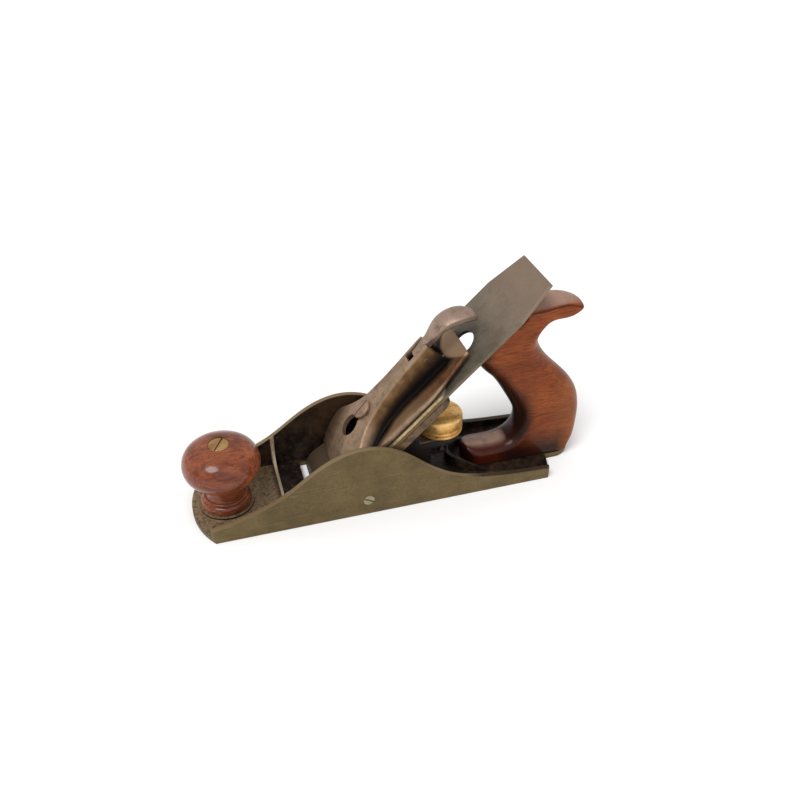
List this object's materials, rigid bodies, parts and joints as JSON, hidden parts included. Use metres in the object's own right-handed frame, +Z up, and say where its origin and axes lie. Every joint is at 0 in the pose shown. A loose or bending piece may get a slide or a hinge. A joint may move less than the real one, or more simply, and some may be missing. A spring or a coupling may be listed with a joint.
{
  "type": "hand plane",
  "caption": "Woodworking bench plane with an iron body, a sloping double iron under a humped lever cap, a turned front knob and a wooden rear handle.",
  "frame": {"origin": "middle of the sole's face, halfway between the straight sides' ends, between the cheeks", "axes": "+X from the toe to the heel, +Z up from the sole, +Y towards the far cheek (the user's right when they push towards -X)"},
  "size_m": [0.2602, 0.0628, 0.1382],
  "materials": {
    "body_iron": "worn bare iron outside, worn dark japanning inside",
    "frog_japan": "dark japanned iron",
    "tool_steel": "grey-brown patina",
    "cap_metal": "worn pewter-grey patina with reddish hollows",
    "screw_steel": "darkened steel",
    "lever_iron": "dark iron",
    "knob_wood": "dark reddish-brown, polished",
    "tote_wood": "orange-brown, varnished, fine dark pores",
    "brass": "aged brass"
  },
  "bodies": {
    "plane_body": {"body_casting": "body_iron", "frog": "frog_japan", "frog_screws": "screw_steel", "frog_washers": "screw_steel", "frog_cross_screw": "screw_steel", "lever_cap_screw": "screw_steel", "front_knob": "knob_wood", "knob_bolt": "screw_steel", "knob_nut": "brass", "rear_tote": "tote_wood", "tote_rod": "screw_steel", "tote_nut": "brass", "wheel_fork": "screw_steel", "fork_screws": "screw_steel", "lever_pivot_pin": "screw_steel"},
    "depth_wheel": {"depth_wheel": "brass"},
    "adjuster_post": {"adjuster_post": "screw_steel", "post_link_pin": "screw_steel"},
    "adjusting_lever": {"adjusting_lever": "lever_iron"},
    "cutter_assembly": {"cutter": "tool_steel", "cap_iron": "tool_steel", "cap_iron_screw": "screw_steel"},
    "lever_cap": {"lever_cap": "cap_metal", "cam_pin": "screw_steel", "cap_spring": "screw_steel", "spring_rivet": "screw_steel"},
    "cam_lever": {"cam_lever": "cap_metal"}
  },
  "joints": [
    {"name": "depth_wheel_spin", "type": "hinge", "parent": "plane_body", "child": "depth_wheel", "pos_m": [0.0425, 0, 0.04], "axis": [0, 0, 1], "range_deg": [-1080, 1080]},
    {"name": "post_lift", "type": "slide", "parent": "plane_body", "child": "adjuster_post", "axis": [0, 0, 1], "range_m": [-0.0031, 0.0031]},
    {"name": "lever_swing", "type": "hinge", "parent": "plane_body", "child": "adjusting_lever", "pos_m": [0.00175, 0, 0.02327], "axis": [0, -1, 0], "range_deg": [-4.5, 4.5]},
    {"name": "cutter_feed", "type": "slide", "parent": "plane_body", "child": "cutter_assembly", "axis": [-0.7193, 0, -0.6947], "range_m": [-0.00111, 0.00111]},
    {"name": "lever_cap_slide", "type": "slide", "parent": "plane_body", "child": "lever_cap", "axis": [0.7193, 0, 0.6947], "range_m": [0, 0.013]},
    {"name": "cam_lever_hinge", "type": "hinge", "parent": "lever_cap", "child": "cam_lever", "pos_m": [0.03058, 0, 0.09073], "axis": [0, -1, 0], "range_deg": [0, 75]}
  ],
  "couplings": [
    {"joint": "depth_wheel_spin", "follows": "cutter_feed", "rad_per_m": 16955},
    {"joint": "post_lift", "follows": "cutter_feed", "ratio": 2.6984},
    {"joint": "lever_swing", "follows": "cutter_feed", "rad_per_m": 66.225}
  ]
}
